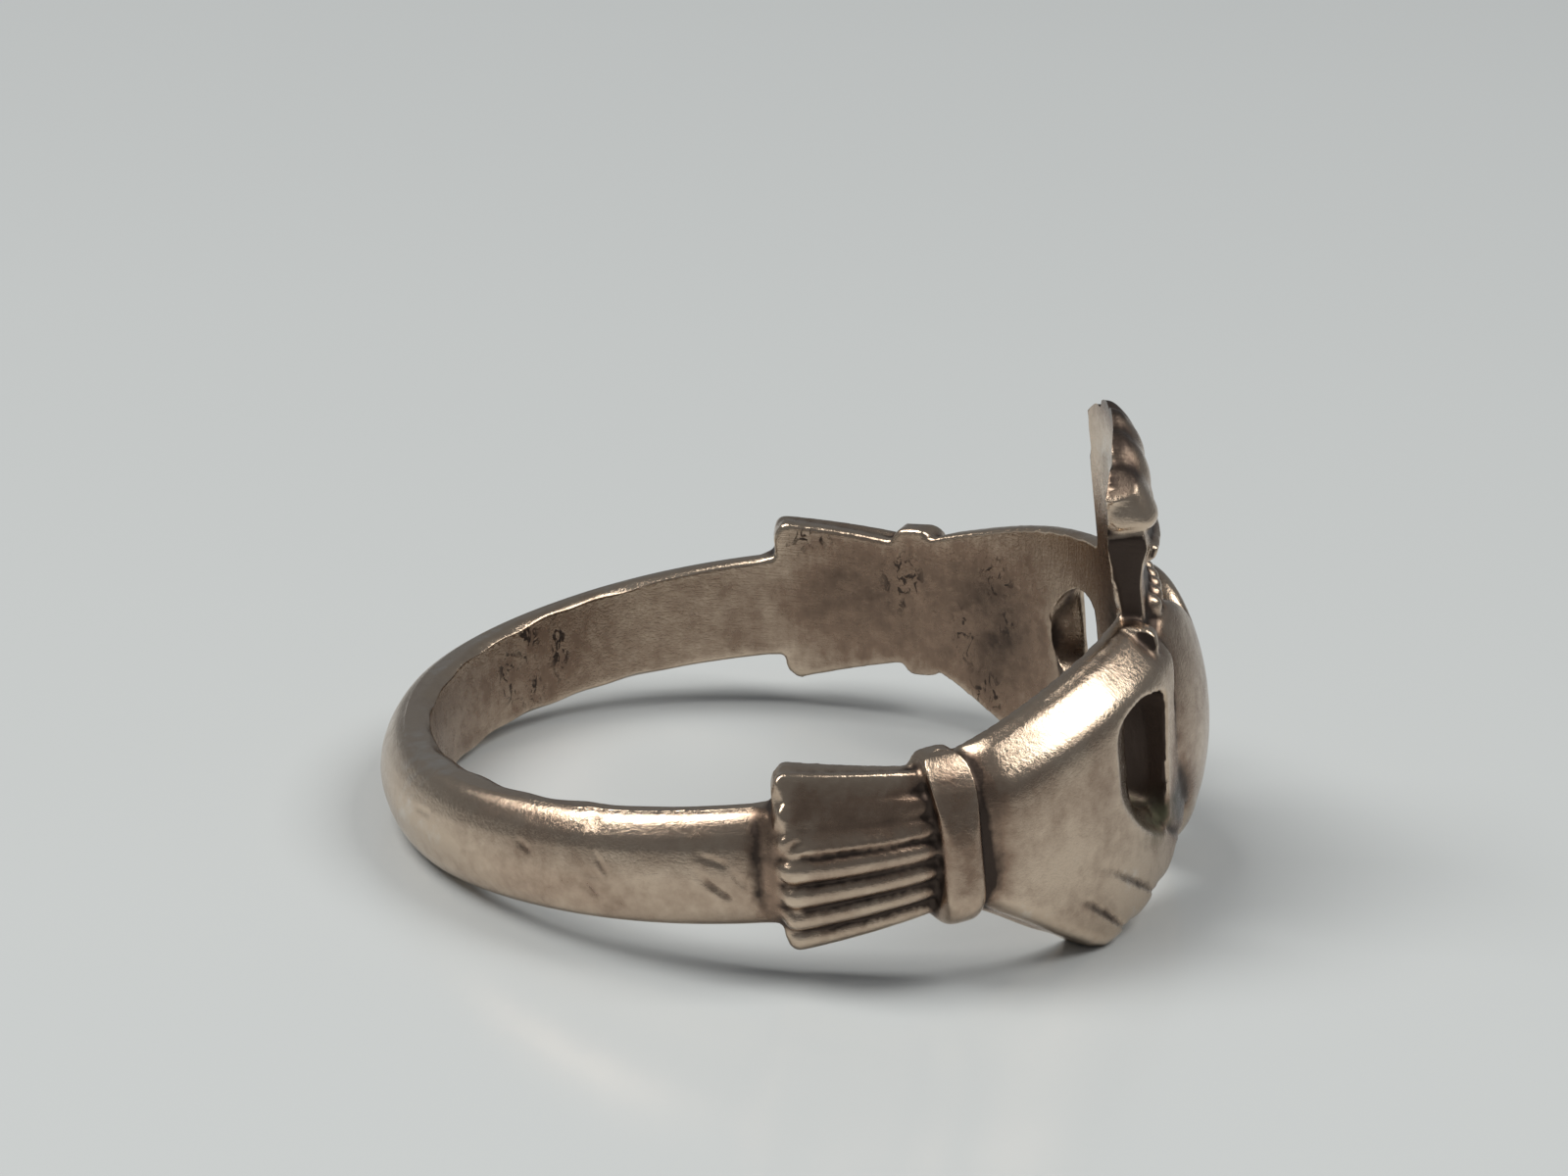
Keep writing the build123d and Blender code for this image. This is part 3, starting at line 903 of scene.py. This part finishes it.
# %% One skin
skin_step = 0.08
ring_mesh = skin(joined([wax, pleat_mesh, bead_mesh, point_mesh]), skin_step)
mean = neighbour_mean(ring_mesh)
points = relaxed(get_points(ring_mesh), mean, 6)
angle, radius, height = polar(points)
lip_end, corner_round = 90.5, 0.45
from_lip = np.clip(np.radians(lip_end - np.abs(angle)) * hole_radius, 0, corner_round)
corner_drop = corner_round - np.sqrt(corner_round**2 - (corner_round - from_lip) ** 2)
corner_drop *= ramp(np.abs(angle), 95.0, 93.0) * (np.abs(angle) > 80)
limit = cuff_flare_height / 2 - corner_drop
lifted = height - cuff_flare_lift
height = cuff_flare_lift + np.where(corner_drop > 0, np.clip(lifted, -limit, limit), lifted)
in_hole = ramp(facing_out(points, get_normals(ring_mesh)), -0.8, -0.95) * (radius < hole_radius + 0.12)
radius += in_hole * (hole_radius - radius)
radius = np.maximum(radius, hole_radius)
set_points(ring_mesh, from_polar(angle, radius, height))
print("skin", len(ring_mesh.vertices), "points")

# %% [markdown]
# The band's upper shoulder is worn thin, and its lower edge stayed fuller. So each half gets
# its own profile, and all metal above it is filed away. The inner edge is broken unevenly,
# as rings that are pulled over a finger get it.

# %% Wear the band
shoulder_depths = [0.0, 0.07, 0.15, 0.26, 0.5, 0.8, 1.1, 1.45]
upper_levels = [0.42, 0.6, 0.71, 0.81, 0.98, 1.12, 1.19, 1.23]
lower_levels = [0.68, 0.84, 0.92, 0.99, 1.09, 1.16, 1.21, 1.23]
back_fullness = 0.22
points = get_points(ring_mesh)
angle, radius, height = polar(points)
beside = np.abs(angle)
on_band = ramp(beside, 91.2, 93.5)
half = np.interp(beside, [91, 180], [1.45, 1.25])
depth = half - np.abs(height)
upper = np.interp(depth, shoulder_depths, upper_levels)
lower = np.interp(depth, shoulder_depths, lower_levels)
level = np.where(height > 0, upper, lower) + back_fullness * ramp(beside, 125, 165)
filed_off = on_band * np.clip(radius - hole_radius - level, 0, None)
radius -= filed_off
unevenness = 0.5 + 0.3 * np.sin(np.radians(angle * 13)) + 0.3 * np.sin(np.radians(angle * 31 + 40))
broken_edge = 0.16 + 0.12 * unevenness * ramp(beside, 98, 125)
short = np.clip(broken_edge - (radius - hole_radius), 0, None) * on_band
rim = np.where(short > 0, half - 0.7 * short, np.abs(height))
height = np.sign(height) * np.minimum(np.abs(height), rim)
points = relaxed(from_polar(angle, radius, height), mean, 12, on_band[:, None])
set_points(ring_mesh, points)
print("band filed by up to", round(float(filed_off.max()), 2), "millimetres")

# %% [markdown]
# The bracelets lie highest on the wrists, so they wear first. They are filed to a barrel
# towards their upper ends, by a profile again.

# %% Wear the bracelets
bracelet_half = 2.16
bracelet_depths = [0.0, 0.05, 0.15, 0.3, 0.5, 0.8, 1.2, 1.7, 2.16]
bracelet_levels = [0.5, 0.68, 0.83, 0.99, 1.16, 1.34, 1.5, 1.64, 1.71]
angle, radius, height = polar(points)
beside = np.abs(angle)
on_bracelet = ramp(beside, 61.9, 62.6) * ramp(beside, 70.1, 69.4) * ramp(height, -0.1, 0.2)
level = np.interp(bracelet_half - height, bracelet_depths, bracelet_levels)
filed_off = on_bracelet * np.clip(radius - hole_radius - level, 0, None)
points = relaxed(from_polar(angle, radius - filed_off, height), mean, 4, on_bracelet[:, None])
set_points(ring_mesh, points)
print("bracelets filed by up to", round(float(filed_off.max()), 2), "millimetres")

# %% [markdown]
# The crown's points are worn flat on top and have run together. A knock has bent the crown
# back over the finger, more towards its tip, and pushed its near side down. Its outer face
# stands out further at half height.

# %% Wear and bend the crown
rim_heights = [3.4, 3.7, 4.0, 4.4, 4.8, 5.2, 5.8, 6.3, 6.8, 7.2]
rim_steps = [0.0, 0.02, 0.08, 0.22, 0.41, 0.44, 0.36, 0.26, 0.15, 0.0]
crown_skew = 0.12
crown_bend = 0.27
top_worn = 0.1
points = get_points(ring_mesh)
on_crown = ramp(points[:, 2], 3.2, 4.0) * (points[:, 0] > 5)
arch_top = crown_height - crown_side_drop * (points[:, 1] / 2.2) ** 2 - top_worn
filed_off = np.clip(points[:, 2] - arch_top, 0, None) * on_crown
points[:, 2] -= filed_off
outer_face = ramp(get_normals(ring_mesh)[:, 0], 0.1, 0.5)
points[:, 0] += on_crown * outer_face * np.interp(points[:, 2], rim_heights, rim_steps)
points[:, 0] -= on_crown * crown_bend * ramp(points[:, 2], 3.2, 6.2)
points[:, 2] += crown_skew * points[:, 1] * ramp(points[:, 2], 4.2, 6.0) * on_crown
run_together = (ramp(points[:, 2], 5.3, 6.2) * on_crown)[:, None]
for _ in range(30):
    points += 0.5 * run_together * (mean(points) - points)
set_points(ring_mesh, points)
print("crown worn down by", round(float(filed_off.max()), 2), "millimetres")

# %% [markdown]
# Fingers and cloth reach the edges of the slots too, so those are softened.

# %% Soften the slots
angle, radius, height = polar(points)
beside = np.abs(angle)
at_slot = ramp(beside, 20.8, 21.4) * ramp(beside, 42.0, 39.5) * ramp(np.abs(height), 2.4, 2.0)
set_points(ring_mesh, relaxed(points, mean, 10, at_slot[:, None]))
print("softened", int((at_slot > 0.5).sum()), "points")

# %% [markdown]
# ## Wear and tool marks
#
# The upper pleats of the cuffs have been rubbed away to a smooth face with faint ridges.
# They are drawn most of the way back to a smooth face just under their crests, which is
# slightly hollow, and the rest of their height stays as ridges.

# %% Rub the upper pleats
rubbed_under_crest, rubbed_hollow = 0.07, 0.1
angle, radius, height = polar(get_points(ring_mesh))
beside = np.abs(angle)
way = np.clip((cuff_flare_angle - beside) / (cuff_flare_angle - cuff_neck_angle), 0, 1)
half = (cuff_flare_height + way * (cuff_neck_height - cuff_flare_height)) / 2
level = (height - cuff_flare_lift * (1 - way)) / half
thickness = cuff_flare_thickness + way * (cuff_neck_thickness - cuff_flare_thickness)
crest = thickness * (cuff_edge_share + (1 - cuff_edge_share) * (1 - level**2))
hollow = ramp(beside, 70, 76) * ramp(beside, 89.5, 87) * ramp(level, 0.22, 0.45) * ramp(level, 0.95, 0.6)
rubbed_face = hole_radius + crest - rubbed_under_crest - rubbed_hollow * hollow
worn = ramp(beside, 69.3, 71.0) * ramp(beside, 90.0, 88.6) * ramp(level, 0.2, 0.32)
worn *= ramp(level, 1.05, 0.9) * ramp(radius, hole_radius + 0.5, hole_radius + 0.7)
strength = 0.64 + 0.26 * ramp(beside, 71, 77)
radius += worn * strength * (rubbed_face - radius)
set_points(ring_mesh, relaxed(from_polar(angle, radius, height), mean, 14, worn[:, None]))
print("rubbed", int((worn > 0.5).sum()), "points")

# %% [markdown]
# Between the fingers are cut grooves, and the band has nicks. Each is a short line on the
# unrolled ring between two places, given by their angle and height, that starts softly and
# ends deep. Grooves are alike on both sides, and nicks are found on one side only.

# %% Press grooves and nicks
# Each row: from, to, width and depth
grooves = [
    ((48.2, -2.3), (35.8, -4.1), 0.065, 0.085),
    ((43.2, -1.85), (26.6, -3.8), 0.065, 0.08),
    ((31.0, -1.5), (14.6, -3.05), 0.13, 0.08),
    ((90.2, 0.62), (87.8, 0.78), 0.12, 0.1),
]
nicks = [
    ((129.5, 0.56), (126.8, 0.32), 0.06, 0.04),
    ((116.4, 0.59), (114.3, 0.03), 0.055, 0.035),
    ((118.9, 0.0), (115.5, -0.06), 0.055, 0.035),
    ((119.2, -0.19), (116.4, -0.63), 0.065, 0.045),
    ((101.7, 0.57), (97.6, 0.3), 0.065, 0.045),
    ((102.1, 0.18), (97.6, -0.57), 0.08, 0.07),
    ((97.0, 0.17), (95.2, -0.25), 0.06, 0.04),
    ((152.7, 0.41), (148.1, 0.42), 0.055, 0.035),
    ((118.6, 1.12), (116.8, 1.2), 0.18, 0.04),
]
points, normals = get_points(ring_mesh), get_normals(ring_mesh)
angle, radius, height = polar(points)
outside = ramp(facing_out(points, normals), -0.3, 0.1)
outside *= ramp(radius, hole_radius + 0.35, hole_radius + 0.55)
pressed = np.zeros(len(points))
places = unrolled(np.abs(angle), height)
for marks, on_side in ((grooves, True), (nicks, angle < 0)):
    for start, end, width, depth in marks:
        gap, share = gap_to_line(places, unrolled(*start), unrolled(*end))
        mark = depth * np.exp(-((gap / width) ** 2)) * ramp(share, -0.1, 0.6)
        pressed = np.maximum(pressed, mark * on_side)
pressed *= outside
set_points(ring_mesh, relaxed(from_polar(angle, radius - pressed, height), mean, 2))
print("marks pressed up to", round(float(pressed.max()), 3), "millimetres deep")

# %% [markdown]
# ## A lighter skin
#
# The crumbs that the saw left are taken off, and the skin is thinned to a size that a
# library can carry. Flat walls lose most of their points by that, and measures kept at few
# points look streaky, so long edges are halved again, each together with the two triangles
# beside it.

# %% Thin the skin
triangle_limit = 150000
longest_edge = 0.6


def take_off_crumbs(mesh):
    """Deletes every point that no edge joins to the band, and returns how many there were."""
    bm = bmesh.new()
    bm.from_mesh(mesh)
    front = [min(bm.verts, key=lambda vert: vert.co.x)]
    reached = set(front)
    while front:
        for edge in front.pop().link_edges:
            fresh = [vert for vert in edge.verts if vert not in reached]
            reached.update(fresh)
            front.extend(fresh)
    crumbs = [vert for vert in bm.verts if vert not in reached]
    count = len(crumbs)
    bmesh.ops.delete(bm, geom=crumbs, context="VERTS")
    bm.to_mesh(mesh)
    bm.free()
    return count


def halve_long_edges(mesh, longest):
    """Halves a triangle mesh's edges until none is longer than a length."""
    bm = bmesh.new()
    bm.from_mesh(mesh)
    bmesh.ops.triangulate(bm, faces=bm.faces)
    long = [edge for edge in bm.edges if edge.calc_length() > longest]
    while long:
        for edge in sorted(long, key=bmesh.types.BMEdge.calc_length, reverse=True):
            middle = bmesh.utils.edge_split(edge, edge.verts[0], 0.5)[1]
            for face in list(middle.link_faces):
                corners = list(face.verts)
                opposite = corners[(corners.index(middle) + 2) % 4]
                bmesh.utils.face_split(face, middle, opposite)
        long = [edge for edge in bm.edges if edge.calc_length() > longest]
    bm.to_mesh(mesh)
    bm.free()


print("crumbs taken off,", take_off_crumbs(ring_mesh), "points")
triangles = sum(len(face.vertices) - 2 for face in ring_mesh.polygons)
ring_mesh = with_modifier(ring_mesh, "DECIMATE", ratio=min(1.0, triangle_limit / triangles))
halve_long_edges(ring_mesh, longest_edge)
angle, radius, height = polar(get_points(ring_mesh))
set_points(ring_mesh, from_polar(angle, np.maximum(radius, hole_radius), height))
print(triangles, "triangles thinned to", sum(len(face.vertices) - 2 for face in ring_mesh.polygons))

# %% [markdown]
# ## Measures for the tarnish and the painted shade
#
# A recess is where the skin lies under the mean of its surroundings, and a rubbed place
# is where it stands proud. Both come from comparing the skin with a much smoothed copy.
# Painted shade is added to the recess measure as masks: the inside of the slots, nearly black
# on the heart's side, and the tops of the crown's points, which mirror the dim room. The wall
# behind the heart gets tarnish and painted shade, and the crown's sides are darker all over.

# %% Measure the skin
mean = neighbour_mean(ring_mesh)
points, normals = get_points(ring_mesh), get_normals(ring_mesh)
angle, radius, height = polar(points)
beside = np.abs(angle)


def proud(rounds):
    """How far each point stands out of its surroundings, in millimetres."""
    around = points.copy()
    for _ in range(rounds):
        around = mean(around)
    return ((points - around) * normals).sum(axis=1)


def keep(name, values):
    """Leaves a measure on the skin for the material."""
    layer = ring_mesh.attributes.new(name, "FLOAT", "POINT")
    layer.data.foreach_set("value", values.astype(np.float32))
    print(name, "from", round(float(values.min()), 2), "to", round(float(values.max()), 2))


close, wide = proud(10), proud(50)
recess = np.clip(-close / 0.03, 0, 1) * 0.7 + np.clip(-wide / 0.1, 0, 1) * 0.7
recess = mean(mean(recess)) * (1 - ramp(height, 5.8, 6.3))
# Darker all over on the crown's plate sides
crown_side = ramp(height, 2.2, 2.5) * ramp(height, 5.2, 5.0) * ramp(np.abs(normals[:, 1]), 0.7, 0.9)
crown_side *= ramp(np.abs(points[:, 1]), 2.4, 2.6) * (points[:, 0] > 0)
outward = facing_out(points, normals)
# Tarnish and painted shade on the wall behind the heart
behind_heart_tarnish_and_shade = ramp(beside, 21.0, 14.0) * ramp(outward, -0.5, -0.9) * ramp(height, 2.8, 1.2)
# Painted shade inside the slots, lighter on the walls of the hand's side
painted_slot_shade = ramp(beside, 20.9, 21.5) * ramp(beside, 38.0, 36.5)
painted_slot_shade *= ramp(height, -1.9, -1.5) * ramp(height, 1.8, 1.6)
painted_slot_shade *= ramp(radius, hole_radius + 0.02, hole_radius + 0.1) * ramp(outward, 0.5, 0.3)
turn = np.radians(angle)
from_heart = (normals[:, 1] * np.cos(turn) - normals[:, 0] * np.sin(turn)) * np.sign(angle)
painted_slot_shade *= 1 - 0.85 * ramp(from_heart, -0.3, -0.8)
# Painted shade on the tops of the crown's points, where they mirror the dim room
painted_crown_top_shade = ramp(height, 5.9, 6.4) * ramp(normals[:, 2], 0.35, 0.7) * 0.6
# This painted shade and darkening goes into the recess measure
painted_shade_and_dark_sides = np.max([crown_side, painted_slot_shade, painted_crown_top_shade, 0.6 * behind_heart_tarnish_and_shade], axis=0)
recess = np.clip(np.maximum(recess, painted_shade_and_dark_sides), 0, 1)
rubbed = np.clip(mean(np.clip(wide / 0.12, 0, 1)), 0, 1)
keep("recess", recess)
keep("rubbed", rubbed)

# %% [markdown]
# What is left can't be measured, only seen: where the ring is stained or bright, where it is
# pitted, and where old dirt sits. The stain table also paints light and shade: darker where
# faces mirror the dim room or lie in shade, and lighter where they mirror the pale sheet or
# catch a lamp. All are soft spots round the finger hole, taken from tables. Stains are alike
# on both sides, so their angle is counted from the heart, and each belongs to the faces that
# look in, out or up. Dirt lies in the lower corners of the slots.

# %% Stains, painted light and shade, pits and dirt
# Each row: angle and height, the spread of both, and how much more tarnish or painted shade;
# below zero, less tarnish or painted light
stains_and_painted_light = {
    "in": [
        (50, -0.4, 11, 2.4, 1.03), (76, 0.3, 12, 2.4, 0.69), (137, 0.0, 14, 1.8, 0.35),
        # The last row is painted shade on the top edge of the crown's inner face
        (107, 0.4, 9, 1.2, -0.2), (0, 5.7, 25, 1.4, -1.45), (0, 7.6, 25, 0.65, 1.7),
    ],
    "out": [
        # The first row is tarnish and painted shade where the cuff steps off the band
        (91.6, 0.0, 1.7, 1.8, 0.6), (118, -0.2, 15, 1.2, 0.15), (97.5, -0.4, 4.5, 0.8, -0.3),
        # The second row is tarnish and a painted dark reflection of the room on the cuff's upper face
        (156, 0.4, 14, 1.5, -0.6), (81, 0.8, 8, 1.8, 0.45), (66.5, -0.2, 3.6, 2.2, 0.7),
        # A painted dark reflection of the room on the upper palm, then a painted highlight over rubbed
        # silver on the thumb's slope
        (60.5, 0.0, 4.0, 2.0, 0.5), (53, 0.75, 9, 0.5, 0.35), (31, 2.3, 7, 0.4, -0.6),
        # A painted highlight over rubbed silver on the thumb's slope, then a painted reflection of the pale
        # sheet on the palm
        (42, 2.0, 7, 0.4, -0.6), (53, 1.6, 6, 0.35, -0.5), (49, -1.4, 8, 1.0, -0.8),
        # A painted reflection of the pale sheet on the fingers; the heart's lower flank and the slot's
        # lower corner are darker
        (36, -2.8, 7, 0.9, -0.9), (17, -2.0, 5, 0.9, 1.5), (24, -1.75, 5, 0.45, 1.0),
    ],
    "up": [
        # Painted shade on the crown's tops, which mirror the dim room
        (0, 6.9, 25, 0.9, 0.6),
    ],
}
pitted_spots = [
    (140, 0.75, 3.0, 0.5), (145.5, 0.1, 3.0, 0.7), (140.5, -0.6, 3.0, 0.5),
    (133, 0.2, 2.0, 0.9), (85, 1.9, 4.0, 0.3), (68, 0.6, 4.0, 0.8),
    (49, 1.0, 3.5, 0.6), (57, -0.8, 2.5, 0.8), (47.7, -0.3, 2.2, 0.4),
    (53, -2.4, 3.5, 0.6), (-60, 0.5, 5.0, 0.8), (-150, 0.3, 6.0, 0.6),
]
dirty_spots = [
    (25.0, -1.9, 5.0, 0.4), (-25.0, -1.9, 5.0, 0.4),
]
faces = {
    "in": ramp(outward, -0.2, -0.7),
    "out": ramp(outward, -0.3, 0.2),
    "up": ramp(normals[:, 2], 0.3, 0.7),
}


def spot(angles, middle, level, spread_round, spread_up):
    """One soft spot round the ring, 1 in its middle."""
    return np.exp(-(((angles - middle) / spread_round) ** 2) - ((height - level) / spread_up) ** 2)


def spots(rows):
    """The strongest of several soft spots at every point."""
    return np.max([spot(angle, *row) for row in rows], axis=0)


stain = sum(row[-1] * spot(beside, *row[:-1]) * faces[face] for face in stains_and_painted_light for row in stains_and_painted_light[face])
keep("stain", stain)
keep("pitting", spots(pitted_spots) * ramp(outward, -0.7, -0.9))
keep("dirt", spots(dirty_spots) * (radius > hole_radius + 0.1))

# %% [markdown]
# At last the skin goes back to its place on the table. It may nowhere reach out of the
# solid's box, so the few points that do are set back on its sides, which also gives the
# little fingers a flat spot to rest on. The skin then stands for the solid's ring.

# %% Put the ring together
set_points(ring_mesh, np.clip(to_scene(points), np.array(cad_low), np.array(cad_high)))
ring_mesh.materials.clear()
ring_mesh.materials.append(silver)
ring = placed("ring_skin", ring_mesh)
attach(ring, "root")
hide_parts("ring")
print("ring", sum(len(face.vertices) - 2 for face in ring_mesh.polygons), "triangles")
